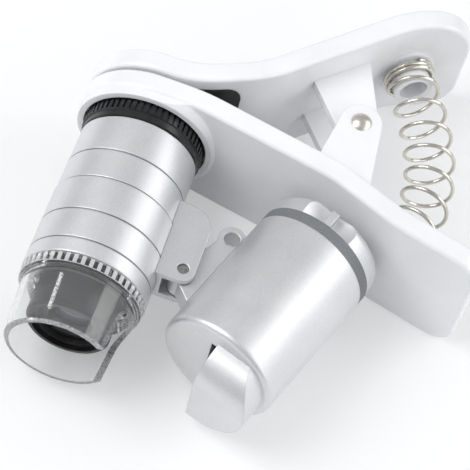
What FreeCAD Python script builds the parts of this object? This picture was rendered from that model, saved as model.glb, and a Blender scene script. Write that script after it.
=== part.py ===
"""Clip-on phone microscope, in millimetres.

A white spring clip holds a small silver microscope over the camera of a phone.
A lamp hinges on the side of the barrel and lights the sample in front of the
clear skirt. The part lies on its side, as it does on a table: the clip's rivet
stands along +Z, the jaws close along Y and the barrel points along -Y.
The origin is on the lower edge of the lens arm, straight under the optical axis.
"""
import FreeCAD
import Part
import math
import os
from FreeCAD import Vector, Rotation, Placement

# Clearances between pieces
FIXED_GAP = 0.02          # two pieces glued or pressed together
TURN_GAP = 0.06           # a shaft that turns in its bore
SLIDE_GAP = 0.08          # a tube that slides in another
FREE_GAP = 0.30           # pieces that pass each other without touching

# Spring clip: two arms cut from one plate section
CLIP_WIDTH = 24.0
ARM_THICKNESS = 3.7
ARM_EDGE_ROUND = 0.7
HANDLE_CORNER_LENS = 4.0
HANDLE_CORNER_PHONE = 7.0
JAW_GAP = 0.7
JAW_OVERHANG = 13.0       # length of each jaw in front of the optical axis
AXIS_Z = CLIP_WIDTH / 2

# Each arm's inner face, as (straight run, bend angle, bend radius)
LENS_ARM_RUNS = [(17.0, -10.0, 40.0), (19.5, -11.5, 25.0), (8.3, 8.5, 25.0), (13.6, 0.0, 0.0)]
PHONE_ARM_RUNS = [(13.5, 27.0, 20.0), (4.5, 18.0, 22.0), (21.5, -26.0, 16.0), (6.5, 0.0, 0.0)]
LENS_FACE_Y = ARM_THICKNESS / 2
PHONE_FACE_Y = LENS_FACE_Y + JAW_GAP

# Rivet and the two pairs of ears that it joins
RIVET_X = 33.0
RIVET_Y = 9.0
RIVET_R = 1.0
RIVET_HEAD_R = 1.75
RIVET_HEAD_H = 0.8
EAR_R = 3.5
EAR_THICKNESS = 1.7
LENS_EAR_OUTER = 7.8      # height of the outer faces over the middle plane
LENS_EAR_FOOT = (28.0, 38.6)
PHONE_EAR_FOOT = (23.4, 31.4)

# Rubber pads let into the jaws
PAD_THICKNESS = 1.2
PAD_GAP = 0.10
PAD_RECESS = PAD_THICKNESS - (JAW_GAP - PAD_GAP) / 2
PAD_END = 26.5            # distance along the inner face, from the jaw's tip
PAD_WIDTH = 18.6
PAD_CORNER = 3.0

# Coil spring between the handles, on a hollow boss on each arm
LENS_SEAT = 60.2          # distance along the inner face, from the jaw's tip
PHONE_SEAT = 59.4
BOSS_R = 3.4
BOSS_BORE_R = 2.45
BOSS_LENGTH = 4.6
SEAT_R = 4.8              # flat round seat under the spring's end turns
SEAT_RISE = 0.7
WIRE_R = 0.35
COIL_R = 4.1
CLOSED_TURNS = 1.6
OPEN_TURNS = 7.0
SPRING_BOW = 15.5

# Microscope barrel: distances from the arm's middle plane, along the optical axis
RING_TOP = 2.05
RING_TEETH_END = 5.0
RING_BOTTOM = 6.4
UPPER_TOP = 6.56
UPPER_GROOVE = 13.5
SLEEVE_JOINT = 19.1
LOWER_GROOVES = (25.7, 31.3)
LOWER_END = 34.15
BARREL_TOP_R = 10.0
BARREL_JOINT_R = BARREL_TOP_R + 0.2
SLEEVE_STEP = 0.15
BARREL_END_R = BARREL_TOP_R + 0.5
BARREL_WALL = 1.3
GROOVE_WIDTH = 0.3
GROOVE_DEPTH = 0.25

# Black focusing ring
RING_R = BARREL_TOP_R + 0.3
RING_BAND_R = BARREL_TOP_R + 0.05
RING_TEETH = 60
RING_TOOTH_DEPTH = 0.3
FOCUS_PITCH = 5.0         # advance of the lens tube in one full turn
FOCUS_HALF_TURN = 50.0
CAM_GROOVE_DEPTH = 1.0

# Raised collar that the arm carries round the ring
COLLAR_R = RING_R + 1.7
COLLAR_FLARE = 1.6
COLLAR_TOP = 3.25
COLLAR_INSET = 0.3        # from the plate's long edges

# Optics
EYE_TUBE_R = BARREL_TOP_R - 2.9
EYE_TUBE_BORE_R = EYE_TUBE_R - 1.1
EYE_TUBE_END = 14.5
EYE_LENS_R = EYE_TUBE_R - 1.9
EYE_LENS_THICKNESS = 2.0
EYE_HOLE_R = EYE_LENS_R + 0.2
EYE_TUBE_SUNK = 0.3       # below the floor of the pad's recess
TUBE_R = EYE_TUBE_BORE_R - SLIDE_GAP
TUBE_BORE_R = EYE_TUBE_BORE_R - 1.4
TUBE_TOP = 3.0
HEAD_R = BARREL_TOP_R - 3.0
HEAD_TOP = 27.0
TUBE_FRONT = 42.0
OBJECTIVE_R = 3.6
OBJECTIVE_THICKNESS = 1.8
OBJECTIVE_DEPTH = 2.6     # from the tube's front to the lens's outer face
CAM_PIN_R = 0.6
CAM_PIN_PLACE = 4.25

# Clear skirt that stands on the sample
SKIRT_COLLAR_TOP = 34.3
SKIRT_COLLAR_END = 36.1
SKIRT_COLLAR_R = BARREL_END_R - 0.1
SKIRT_TUBE_R = SKIRT_COLLAR_R - 0.7
SKIRT_RIM = 46.4
SKIRT_RIM_R = SKIRT_COLLAR_R - 1.4
SKIRT_WALL = 0.9
SKIRT_TEETH = 48
SKIRT_TOOTH_DEPTH = 0.45
SKIRT_SPIGOT = 3.0
WINDOW_ANGLE = 3.0
WINDOW_HALF_WIDTH = 5.2
WINDOW_TOP = 37.4

# Lamp hinge: a U-shaped bracket on the barrel
LAMP_PIN_X = BARREL_TOP_R + 3.9
LAMP_PIN_Y = -26.4
LAMP_PIN_R = 0.95
BRACKET_HALF = 3.5
BRACKET_PLATE = 1.1
BRACKET_TOP_Y = -13.9
BRACKET_EDGE_X = LAMP_PIN_X + 2.1
BRACKET_END_Y = -28.7
BRACKET_WEB_X = BARREL_TOP_R + 1.2
BRACKET_CORNER = 4.2
KNUCKLE_R = 1.95

# Lamp: sizes along its own axis start at the grey ring's lower edge
LAMP_TILT = 19.0
LAMP_PIN_PLACE = 16.0
LAMP_R = 10.4
LAMP_REACH = LAMP_R + 3.6  # from the hinge pin to the lamp's axis
LAMP_WALL = 1.3
LAMP_FACE = 25.2
LAMP_EDGE_ROUND = 1.0
LAMP_RING_WIDTH = 2.0
CAP_END = 5.8
CAP_R = LAMP_R - 0.15
CAP_ROUND = 1.6
CAP_SPIGOT = 2.5
HOOD_R = LAMP_R - 1.3
HOOD_HEIGHT = 5.2
HOOD_SIDE = -0.8          # where the hood is cut open, towards the sample
HOOD_PEAK = 7.2
HOOD_WALL = 1.0
LED_R = 1.5
LED_SPREAD = 2.3
LED_PLACE_U = 2.6
BOARD_THICKNESS = 1.2
BOARD_PLACE = 21.7
CELL_R = 5.8
CELL_H = 3.05
CELL_COUNT = 3
CELL_START = 9.0


def place_on_barrel(shape):
    """Turn a shape made along local Z so that Z runs down the optical axis."""
    placed = shape.copy()
    frame = Placement(Vector(0, 0, AXIS_Z), Rotation(Vector(1, 0, 0), 90))
    placed.Placement = frame.multiply(shape.Placement)
    return placed


def lamp_placement():
    """Frame of the lamp: X away from the barrel, Y up, Z towards the sample."""
    turn = Rotation(Vector(0, 0, 1), -LAMP_TILT) * Rotation(Vector(1, 0, 0), 90)
    pin = Vector(LAMP_PIN_X, LAMP_PIN_Y, AXIS_Z)
    return Placement(pin - turn.multVec(Vector(-LAMP_REACH, 0, LAMP_PIN_PLACE)), turn)


def place_in_lamp(shape):
    placed = shape.copy()
    placed.Placement = lamp_placement().multiply(shape.Placement)
    return placed


def revolved(points):
    """Revolve a closed half section of (radius, height) points about Z."""
    corners = [Vector(r, 0, z) for r, z in points]
    face = Part.Face(Part.makePolygon(corners + corners[:1]))
    return face.revolve(Vector(0, 0, 0), Vector(0, 0, 1), 360)


def tube(outer, inner, low, high):
    """Plain ring between two heights on Z."""
    return revolved([(inner, low), (outer, low), (outer, high), (inner, high)])


def disc(radius, low, high, x=0.0, y=0.0):
    return Part.makeCylinder(radius, high - low, Vector(x, y, low))


def round_edges(shape, radius, chosen):
    """Fillet the edges that the test picks."""
    edges = [edge for edge in shape.Edges if chosen(edge)]
    return shape.makeFillet(radius, edges) if edges else shape


def one_solid(shape):
    """The shape as one clean solid."""
    cleaned = shape.removeSplitter()
    return cleaned.Solids[0] if len(cleaned.Solids) == 1 else cleaned


def is_level_circle(edge, radius, height):
    """True for a full circle round Z of this radius and height."""
    if not isinstance(edge.Curve, Part.Circle):
        return False
    centre = edge.Curve.Center
    same_place = abs(centre.z - height) < 1e-3 and math.hypot(centre.x, centre.y) < 1e-3
    return same_place and abs(edge.Curve.Radius - radius) < 1e-3


def path_pieces(start, runs):
    """Split an arm's path into (length, start point, heading, turn per mm)."""
    x, y = start
    heading = 0.0
    pieces = []
    for run, bend, radius in runs:
        pieces.append((run, x, y, heading, 0.0))
        x += run * math.cos(heading)
        y += run * math.sin(heading)
        if bend:
            turn = math.radians(bend)
            length = abs(turn) * radius
            pieces.append((length, x, y, heading, turn / length))
            chord = 2 * radius * math.sin(abs(turn) / 2)
            x += chord * math.cos(heading + turn / 2)
            y += chord * math.sin(heading + turn / 2)
            heading += turn
    return pieces


def path_point(path, distance, offset=0.0):
    """Point and heading at a distance along the path, moved to its left by offset."""
    travelled = 0.0
    for number, (length, x, y, heading, rate) in enumerate(path):
        last = number == len(path) - 1
        if distance <= travelled + length or last:
            step = distance - travelled
            turn = rate * step
            if rate:
                chord = 2 / rate * math.sin(turn / 2)
            else:
                chord = step
            x += chord * math.cos(heading + turn / 2)
            y += chord * math.sin(heading + turn / 2)
            heading += turn
            normal = Vector(-math.sin(heading), math.cos(heading), 0)
            return Vector(x, y, 0) + normal * offset, heading
        travelled += length


def path_length(path):
    return sum(piece[0] for piece in path)


def strip(path, start, end, low, high, width):
    """Plate that follows a path between two distances and two offsets, centred in Z."""
    sides = []
    for offset in (low, high):
        edges = []
        travelled = 0.0
        for length, x, y, heading, rate in path:
            first = max(start, travelled)
            last = min(end, travelled + length)
            travelled += length
            if last - first < 1e-6:
                continue
            spots = [path_point(path, s, offset)[0] for s in (first, (first + last) / 2, last)]
            if rate:
                edges.append(Part.Arc(*spots).toShape())
            else:
                edges.append(Part.makeLine(spots[0], spots[2]))
        sides.append(edges)
    near, far = sides
    near_start, near_end = path_point(path, start, low)[0], path_point(path, end, low)[0]
    far_start, far_end = path_point(path, start, high)[0], path_point(path, end, high)[0]
    ends = [Part.makeLine(near_end, far_end), Part.makeLine(far_start, near_start)]
    wire = Part.Wire(Part.__sortEdges__(near + far + ends))
    plate = Part.Face(wire).extrude(Vector(0, 0, width))
    plate.translate(Vector(0, 0, AXIS_Z - width / 2))
    return plate


def rounded_front(half_width):
    """Tall block with a half-round front about the optical axis, to trim plates with."""
    span = 400.0
    front = Part.makeCylinder(half_width, span, Vector(0, -span / 2, AXIS_Z), Vector(0, 1, 0))
    rest = Part.makeBox(span, span, 2 * half_width, Vector(0, -span / 2, AXIS_Z - half_width))
    return front.fuse(rest).removeSplitter()


def arm_plate(path, side, handle_corner):
    """Arm with a round jaw and rounded handle corners; side is the body's side of the path."""
    low, high = (-ARM_THICKNESS, 0.0) if side < 0 else (0.0, ARM_THICKNESS)
    length = path_length(path)
    plate = strip(path, 0.0, length, low, high, CLIP_WIDTH)
    tip = path_point(path, length)[0]
    corners = [edge for edge in plate.Edges
               if abs(edge.Length - ARM_THICKNESS) < 1e-3
               and edge.CenterOfMass.sub(Vector(tip.x, tip.y, edge.CenterOfMass.z)).Length
               < ARM_THICKNESS]
    plate = plate.makeFillet(handle_corner, corners)
    return plate.common(rounded_front(CLIP_WIDTH / 2))


def soften(plate, radius):
    """Round the sharp rims of a plate and leave its smooth seams alone."""
    rims = []
    for edge in plate.Edges:
        faces = plate.ancestorsOfType(edge, Part.Face)
        if len(faces) != 2:
            continue
        middle = edge.valueAt((edge.FirstParameter + edge.LastParameter) / 2)
        normals = []
        for face in faces:
            u, v = face.Surface.parameter(middle)
            normals.append(face.normalAt(u, v))
        if normals[0].getAngle(normals[1]) > math.radians(30):
            rims.append(edge)
    return plate.makeFillet(radius, rims)


def tangent_point(point, centre, radius, side):
    """Where the line from a point touches a circle, on its left (+1) or right (-1)."""
    towards = centre - point
    reach = towards.Length
    swing = math.asin(radius / reach) * side
    length = math.sqrt(reach * reach - radius * radius)
    angle = math.atan2(towards.y, towards.x) + swing
    return point + Vector(math.cos(angle), math.sin(angle), 0) * length


def ear(foot_a, foot_b, centre, radius, low, high):
    """Flat lug: two feet on the arm, tangent lines, and a round end about the rivet."""
    towards = centre - (foot_a + foot_b) * 0.5
    side = 1 if towards.cross(foot_a - centre).z > 0 else -1
    touch_a = tangent_point(foot_a, centre, radius, side)
    touch_b = tangent_point(foot_b, centre, radius, -side)
    top = centre + towards.normalize() * radius
    edges = [Part.makeLine(foot_a, touch_a), Part.Arc(touch_a, top, touch_b).toShape(),
             Part.makeLine(touch_b, foot_b), Part.makeLine(foot_b, foot_a)]
    lug = Part.Face(Part.Wire(edges)).extrude(Vector(0, 0, high - low))
    lug.translate(Vector(0, 0, AXIS_Z + low))
    return lug


def foot_on(path, x, depth):
    """Point under the arm's inner face where the path passes x."""
    low, high = 0.0, path_length(path)
    for _ in range(40):
        middle = (low + high) / 2
        if path_point(path, middle)[0].x < x:
            low = middle
        else:
            high = middle
    return path_point(path, low, depth)[0]


def ear_pair(path, feet, depth, outer):
    """Two equal lugs, above and below the middle plane, with the rivet's bore."""
    foot_a = foot_on(path, feet[0], depth)
    foot_b = foot_on(path, feet[1], depth)
    centre = Vector(RIVET_X, RIVET_Y, 0)
    upper = ear(foot_a, foot_b, centre, EAR_R, outer - EAR_THICKNESS, outer)
    lower = ear(foot_a, foot_b, centre, EAR_R, -outer, -outer + EAR_THICKNESS)
    return [upper, lower]


def seat_frame(path, distance, side):
    """Seat of the spring: point on the inner face and the direction away from it."""
    point, heading = path_point(path, distance)
    away = Vector(-math.sin(heading), math.cos(heading), 0) * side
    return point + Vector(0, 0, AXIS_Z), away


def boss(path, distance, side):
    """Flat seat and hollow post that the spring's end turns sit round."""
    seat, away = seat_frame(path, distance, side)
    root = seat - away * (ARM_THICKNESS / 2)
    post = Part.makeCylinder(BOSS_R, BOSS_LENGTH + ARM_THICKNESS / 2, root, away)
    base = Part.makeCylinder(SEAT_R, SEAT_RISE + ARM_THICKNESS / 2, root, away)
    return post.fuse(base), Part.makeCylinder(BOSS_BORE_R, BOSS_LENGTH, seat, away)


def pad(path, side, grow=0.0):
    """Rubber pad in its recess; side points from the arm's inner face to the phone."""
    proud = (PAD_THICKNESS - PAD_RECESS) * side
    sunk = -PAD_RECESS * side
    low, high = min(proud, sunk), max(proud, sunk)
    if grow:
        low, high = (low - 1.0, high + grow) if side < 0 else (low - grow, high + 1.0)
    shape = strip(path, 0.5, PAD_END + grow, low, high, PAD_WIDTH + 2 * grow)
    thickness = high - low
    corners = [edge for edge in shape.Edges
               if abs(edge.Length - thickness) < 1e-3 and edge.CenterOfMass.x > 0]
    shape = shape.makeFillet(PAD_CORNER, corners)
    return shape.common(rounded_front(PAD_WIDTH / 2 + grow))


def lens_path():
    return path_pieces((-JAW_OVERHANG, LENS_FACE_Y), LENS_ARM_RUNS)


def phone_path():
    return path_pieces((-JAW_OVERHANG, PHONE_FACE_Y), PHONE_ARM_RUNS)


def make_lens_arm():
    """White arm with the collar for the microscope, two ears and a spring boss."""
    path = lens_path()
    plate = soften(arm_plate(path, -1, HANDLE_CORNER_LENS), ARM_EDGE_ROUND)
    outer_face = ARM_THICKNESS / 2
    flare = revolved([(RING_R + FREE_GAP, 0.6), (COLLAR_R + COLLAR_FLARE, 0.6),
                      (COLLAR_R + COLLAR_FLARE, outer_face - 0.25),
                      (COLLAR_R + 0.45 * COLLAR_FLARE, outer_face + 0.25),
                      (COLLAR_R, COLLAR_TOP - 0.3), (COLLAR_R - 0.35, COLLAR_TOP),
                      (RING_R + FREE_GAP, COLLAR_TOP)])
    half = CLIP_WIDTH / 2 - COLLAR_INSET
    outline = disc(half, 0.0, 10.0).fuse(
        Part.makeBox(60, 2 * half, 10, Vector(0, -half, 0))).removeSplitter()
    collar = place_on_barrel(flare.common(outline))
    post, post_bore = boss(path, LENS_SEAT, 1)
    arm = plate.multiFuse([collar, post] + ear_pair(path, LENS_EAR_FOOT, -1.2, LENS_EAR_OUTER))
    ring_pocket = place_on_barrel(disc(RING_R + FREE_GAP, outer_face, 12.0))
    eye_bore = place_on_barrel(disc(EYE_TUBE_R + FIXED_GAP, -6.0, 6.0))
    rivet_bore = disc(RIVET_R + FIXED_GAP, -1.0, CLIP_WIDTH + 1.0, RIVET_X, RIVET_Y)
    return one_solid(arm.cut([ring_pocket, eye_bore, rivet_bore, post_bore,
                              pad(path, 1, FIXED_GAP)]))


def make_phone_arm():
    """White arm that presses on the back of the phone."""
    path = phone_path()
    plate = soften(arm_plate(path, 1, HANDLE_CORNER_PHONE), ARM_EDGE_ROUND)
    inner_outer = LENS_EAR_OUTER - EAR_THICKNESS - FREE_GAP
    post, post_bore = boss(path, PHONE_SEAT, -1)
    arm = plate.multiFuse([post] + ear_pair(path, PHONE_EAR_FOOT, 1.2, inner_outer))
    rivet_bore = disc(RIVET_R + TURN_GAP, -1.0, CLIP_WIDTH + 1.0, RIVET_X, RIVET_Y)
    return one_solid(arm.cut([rivet_bore, post_bore, pad(path, -1, FIXED_GAP)]))


def make_lens_pad():
    shape = pad(lens_path(), 1)
    return one_solid(shape.cut(place_on_barrel(disc(EYE_HOLE_R, -6.0, 6.0))))


def make_phone_pad():
    return one_solid(pad(phone_path(), -1))


def make_rivet():
    """Nickel rivet with a low domed head on each side."""
    reach = LENS_EAR_OUTER + FIXED_GAP
    rise = RIVET_HEAD_H
    ball = (RIVET_HEAD_R ** 2 + rise ** 2) / (2 * rise)
    shank = disc(RIVET_R, -reach, reach)
    heads = []
    for side in (1, -1):
        sphere = Part.makeSphere(ball, Vector(0, 0, side * (reach + rise - ball)))
        low = reach if side > 0 else -reach - rise
        heads.append(sphere.common(disc(RIVET_HEAD_R, low, low + rise)))
    shape = shank.multiFuse(heads)
    shape.translate(Vector(RIVET_X, RIVET_Y, AXIS_Z))
    return one_solid(shape)


def spring_axis(share):
    """Point and direction on the spring's bowed centre line, from lens arm to phone arm."""
    start, start_away = seat_frame(lens_path(), LENS_SEAT, 1)
    end, end_away = seat_frame(phone_path(), PHONE_SEAT, -1)
    lift = SEAT_RISE + WIRE_R + FIXED_GAP
    knots = [start + start_away * lift, start + start_away * SPRING_BOW,
             end + end_away * SPRING_BOW, end + end_away * lift]
    rest = 1 - share
    weights = [rest ** 3, 3 * rest * rest * share, 3 * rest * share * share, share ** 3]
    point = Vector(0, 0, 0)
    for knot, weight in zip(knots, weights):
        point += knot * weight
    slopes = [3 * rest * rest, 6 * rest * share, 3 * share * share]
    direction = Vector(0, 0, 0)
    for first, second, slope in zip(knots, knots[1:], slopes):
        direction += (second - first) * slope
    return point, direction.normalize()


def make_clip_spring():
    """Round wire wound in closed end turns and open turns along the bowed line."""
    stations = [spring_axis(n / 200)[0] for n in range(201)]
    length = sum((b - a).Length for a, b in zip(stations, stations[1:]))
    closed = 2 * WIRE_R * 1.06 * CLOSED_TURNS
    turns = 2 * CLOSED_TURNS + OPEN_TURNS
    per_turn = 8
    count = int(turns * per_turn)
    points = []
    for n in range(count + 1):
        turn = turns * n / count
        if turn < CLOSED_TURNS:
            travel = closed * turn / CLOSED_TURNS
        elif turn > turns - CLOSED_TURNS:
            travel = length - closed * (turns - turn) / CLOSED_TURNS
        else:
            travel = closed + (length - 2 * closed) * (turn - CLOSED_TURNS) / OPEN_TURNS
        point, direction = spring_axis(travel / length)
        across = direction.cross(Vector(0, 0, 1)).normalize()
        angle = 2 * math.pi * turn
        points.append(point + across * (COIL_R * math.cos(angle))
                      + Vector(0, 0, COIL_R * math.sin(angle)))
    curve = Part.BSplineCurve()
    curve.interpolate(points)
    spine = Part.Wire(curve.toShape())
    start_direction = curve.tangent(curve.FirstParameter)[0]
    section = Part.Wire(Part.makeCircle(WIRE_R, points[0], start_direction))
    return Part.Wire(spine).makePipeShell([section], True, True)


def make_focus_ring():
    """Black ring with fine teeth, and a helical groove inside that drives the tube."""
    bore = EYE_TUBE_R + TURN_GAP
    ring = revolved([(bore, RING_TOP), (RING_R, RING_TOP), (RING_R, RING_TEETH_END),
                     (RING_BAND_R, RING_TEETH_END + 0.15), (RING_BAND_R, RING_BOTTOM - 0.2),
                     (RING_BAND_R - 0.2, RING_BOTTOM), (bore, RING_BOTTOM)])
    pitch_width = 2 * math.pi * RING_R / RING_TEETH
    notch = Part.makeBox(2 * RING_TOOTH_DEPTH, pitch_width * 0.42, RING_TEETH_END - RING_TOP + 2,
                         Vector(RING_R - RING_TOOTH_DEPTH, -pitch_width * 0.21, RING_TOP - 1))
    notches = []
    for n in range(RING_TEETH):
        turned = notch.copy()
        turned.rotate(Vector(0, 0, 0), Vector(0, 0, 1), 360.0 * n / RING_TEETH)
        notches.append(turned)
    limit = tube(RING_R + 1, bore, RING_TOP - 1.5, RING_TEETH_END)
    ring = ring.cut(Part.makeCompound(notches).common(limit))
    return one_solid(place_on_barrel(ring.cut(cam_groove())))


def cam_groove():
    """Helical slot round the inside of the ring, as wide as the tube's drive pin."""
    half_width = CAM_PIN_R + TURN_GAP
    sweep = FOCUS_HALF_TURN + math.degrees(CAM_PIN_R / EYE_TUBE_R) + 2.0
    height = FOCUS_PITCH * 2 * sweep / 360
    middle = EYE_TUBE_R + CAM_GROOVE_DEPTH / 2
    helix = Part.makeHelix(FOCUS_PITCH, height, middle)
    low, high = EYE_TUBE_R - 0.4, EYE_TUBE_R + CAM_GROOVE_DEPTH
    slope = FOCUS_PITCH / (2 * math.pi * middle)
    half = half_width * math.sqrt(1 + slope * slope)
    corners = [Vector(low, 0, -half), Vector(high, 0, -half),
               Vector(high, 0, half), Vector(low, 0, half)]
    section = Part.makePolygon(corners + corners[:1])
    groove = Part.Wire(helix).makePipeShell([section], True, True)
    groove.rotate(Vector(0, 0, 0), Vector(0, 0, 1), -sweep)
    groove.translate(Vector(0, 0, CAM_PIN_PLACE - height / 2))
    return groove


def make_eye_tube():
    """Black tube that joins the arm and the barrel and guides the lens tube."""
    flange = EYE_LENS_R + FIXED_GAP
    ledge = EYE_LENS_R - 0.8
    top = -ARM_THICKNESS / 2 + PAD_RECESS + EYE_TUBE_SUNK
    seat = top + EYE_LENS_THICKNESS
    body = revolved([(flange, top), (EYE_TUBE_R, top), (EYE_TUBE_R, UPPER_TOP + FIXED_GAP),
                     (EYE_TUBE_R, EYE_TUBE_END), (EYE_TUBE_BORE_R, EYE_TUBE_END),
                     (EYE_TUBE_BORE_R, seat + 0.6), (ledge, seat + 0.6), (ledge, seat),
                     (flange, seat)])
    travel = FOCUS_PITCH * FOCUS_HALF_TURN / 360
    half = CAM_PIN_R + TURN_GAP
    slot = Part.makeBox(4, 2 * half, 2 * (travel + half),
                        Vector(EYE_TUBE_BORE_R - 1, -half, CAM_PIN_PLACE - travel - half))
    return one_solid(place_on_barrel(body.cut(slot)))


def make_eye_lens():
    """Plano-convex lens in the arm's side of the tube."""
    top = -ARM_THICKNESS / 2 + PAD_RECESS + EYE_TUBE_SUNK
    rim = 0.9
    rise = EYE_LENS_THICKNESS - rim - FIXED_GAP
    ball = (EYE_LENS_R ** 2 + rise ** 2) / (2 * rise)
    dome = Part.makeSphere(ball, Vector(0, 0, top + ball))
    body = disc(EYE_LENS_R, top, top + EYE_LENS_THICKNESS - FIXED_GAP)
    return one_solid(place_on_barrel(dome.common(body)))


def make_lens_tube():
    """Black inner tube with a stepped front and a cross pin for the ring's groove."""
    front = TUBE_FRONT
    lens_back = front - OBJECTIVE_DEPTH - OBJECTIVE_THICKNESS - FIXED_GAP
    seat_r = OBJECTIVE_R + FIXED_GAP
    body = revolved([(TUBE_BORE_R, TUBE_TOP), (TUBE_R, TUBE_TOP), (TUBE_R, HEAD_TOP),
                     (HEAD_R, HEAD_TOP + 1.0), (HEAD_R, front - 0.4), (HEAD_R - 0.4, front),
                     (HEAD_R - 1.0, front), (HEAD_R - 1.0, front - 0.8),
                     (HEAD_R - 1.8, front - 0.8), (HEAD_R - 1.8, front - OBJECTIVE_DEPTH),
                     (seat_r, front - OBJECTIVE_DEPTH), (seat_r, lens_back),
                     (seat_r - 0.8, lens_back), (seat_r - 0.8, lens_back - 2.0),
                     (TUBE_BORE_R, lens_back - 4.0)])
    pin_reach = EYE_TUBE_R + CAM_GROOVE_DEPTH - 0.15
    pin = Part.makeCylinder(CAM_PIN_R, pin_reach - TUBE_BORE_R - 0.3,
                            Vector(TUBE_BORE_R + 0.3, 0, CAM_PIN_PLACE), Vector(1, 0, 0))
    return one_solid(place_on_barrel(body.fuse(pin)))


def make_objective_lens():
    """Small biconvex lens behind the stepped front."""
    front = TUBE_FRONT - OBJECTIVE_DEPTH
    back = front - OBJECTIVE_THICKNESS
    rim = 0.6
    rise = (OBJECTIVE_THICKNESS - rim) / 2
    ball = (OBJECTIVE_R ** 2 + rise ** 2) / (2 * rise)
    lens = Part.makeSphere(ball, Vector(0, 0, back + ball)).common(
        Part.makeSphere(ball, Vector(0, 0, front - ball)))
    return one_solid(place_on_barrel(lens.common(disc(OBJECTIVE_R, back, front))))


def make_lens_retainer():
    """Black ring screwed in front of the lens."""
    low = TUBE_FRONT - OBJECTIVE_DEPTH + FIXED_GAP
    high = TUBE_FRONT - 1.5
    outer = HEAD_R - 1.8 - FIXED_GAP
    return one_solid(place_on_barrel(revolved([
        (OBJECTIVE_R - 0.5, low), (outer, low), (outer, high), (OBJECTIVE_R + 0.2, high)])))


def grooved_sleeve(top, top_r, end, end_r, inner_r, grooves):
    """Conical sleeve with fine turned grooves round the outside."""
    def outer_at(place):
        return top_r + (end_r - top_r) * (place - top) / (end - top)

    profile = [(inner_r, top), (top_r - 0.15, top), (outer_at(top + 0.15), top + 0.15)]
    for place in grooves:
        half = GROOVE_WIDTH / 2
        profile += [(outer_at(place - half), place - half),
                    (outer_at(place) - GROOVE_DEPTH, place),
                    (outer_at(place + half), place + half)]
    profile += [(outer_at(end - 0.15), end - 0.15), (end_r - 0.15, end), (inner_r, end)]
    return revolved(profile)


def make_upper_sleeve():
    """Silver sleeve under the ring; its top wall is fixed to the eye tube."""
    inner_r = BARREL_TOP_R - BARREL_WALL
    sleeve = grooved_sleeve(UPPER_TOP, BARREL_TOP_R, SLEEVE_JOINT, BARREL_JOINT_R, inner_r,
                            [UPPER_GROOVE])
    wall = tube(inner_r + 0.5, EYE_TUBE_R + FIXED_GAP, UPPER_TOP, UPPER_TOP + BARREL_WALL)
    spigot = tube(inner_r + 0.2, inner_r - 0.9, SLEEVE_JOINT - 2.0, SLEEVE_JOINT + 3.0)
    return one_solid(place_on_barrel(sleeve.multiFuse([wall, spigot])))


def make_lower_sleeve():
    """Silver sleeve that carries the lamp's bracket and the skirt."""
    inner_r = BARREL_TOP_R - BARREL_WALL + 0.2 + FIXED_GAP
    sleeve = grooved_sleeve(SLEEVE_JOINT + FIXED_GAP, BARREL_JOINT_R + SLEEVE_STEP, LOWER_END,
                            BARREL_END_R, inner_r, LOWER_GROOVES)
    return one_solid(place_on_barrel(sleeve))


def make_light_skirt():
    """Clear moulded skirt: toothed collar, thin tube, and a window towards the lamp."""
    spigot_r = BARREL_TOP_R - BARREL_WALL + 0.2
    bore = HEAD_R + FREE_GAP
    shape = revolved([(bore, SKIRT_COLLAR_TOP - SKIRT_SPIGOT),
                      (spigot_r, SKIRT_COLLAR_TOP - SKIRT_SPIGOT),
                      (spigot_r, SKIRT_COLLAR_TOP), (SKIRT_COLLAR_R, SKIRT_COLLAR_TOP),
                      (SKIRT_COLLAR_R - 0.1, SKIRT_COLLAR_END - 0.35),
                      (SKIRT_COLLAR_R - 0.5, SKIRT_COLLAR_END), (SKIRT_TUBE_R, SKIRT_COLLAR_END),
                      (SKIRT_RIM_R, SKIRT_RIM - 0.3), (SKIRT_RIM_R - 0.3, SKIRT_RIM),
                      (SKIRT_RIM_R - SKIRT_WALL, SKIRT_RIM),
                      (SKIRT_TUBE_R - SKIRT_WALL, SKIRT_COLLAR_END + 0.8),
                      (bore, SKIRT_COLLAR_END - 0.5)])
    pitch_width = 2 * math.pi * SKIRT_COLLAR_R / SKIRT_TEETH
    notch = Part.makeBox(2 * SKIRT_TOOTH_DEPTH, pitch_width * 0.5,
                         SKIRT_COLLAR_END - SKIRT_COLLAR_TOP - 0.35,
                         Vector(SKIRT_COLLAR_R - SKIRT_TOOTH_DEPTH, -pitch_width * 0.25,
                                SKIRT_COLLAR_TOP + 0.001))
    notches = []
    for n in range(SKIRT_TEETH):
        turned = notch.copy()
        turned.rotate(Vector(0, 0, 0), Vector(0, 0, 1), 360.0 * n / SKIRT_TEETH)
        notches.append(turned)
    window = Part.makeBox(SKIRT_COLLAR_R + 2, 2 * WINDOW_HALF_WIDTH, SKIRT_RIM - WINDOW_TOP + 2,
                          Vector(0, -WINDOW_HALF_WIDTH, WINDOW_TOP))
    top_edges = [edge for edge in window.Edges
                 if edge.BoundBox.ZLength < 1e-6 and abs(edge.BoundBox.ZMin - WINDOW_TOP) < 1e-6
                 and edge.BoundBox.YLength < 1e-6]
    window = window.makeFillet(WINDOW_HALF_WIDTH * 0.55, top_edges)
    window.rotate(Vector(0, 0, 0), Vector(0, 0, 1), WINDOW_ANGLE)
    return one_solid(place_on_barrel(shape.cut([Part.makeCompound(notches), window])))


def barrel_solid(extra):
    """Outside of both sleeves, grown by extra, for pieces that seat on them."""
    upper_r = BARREL_TOP_R + extra
    joint_r = BARREL_JOINT_R + extra
    return place_on_barrel(revolved([
        (0, UPPER_TOP), (upper_r, UPPER_TOP), (joint_r, SLEEVE_JOINT),
        (joint_r + SLEEVE_STEP, SLEEVE_JOINT), (BARREL_END_R + extra, LOWER_END),
        (0, LOWER_END)]))


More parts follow.
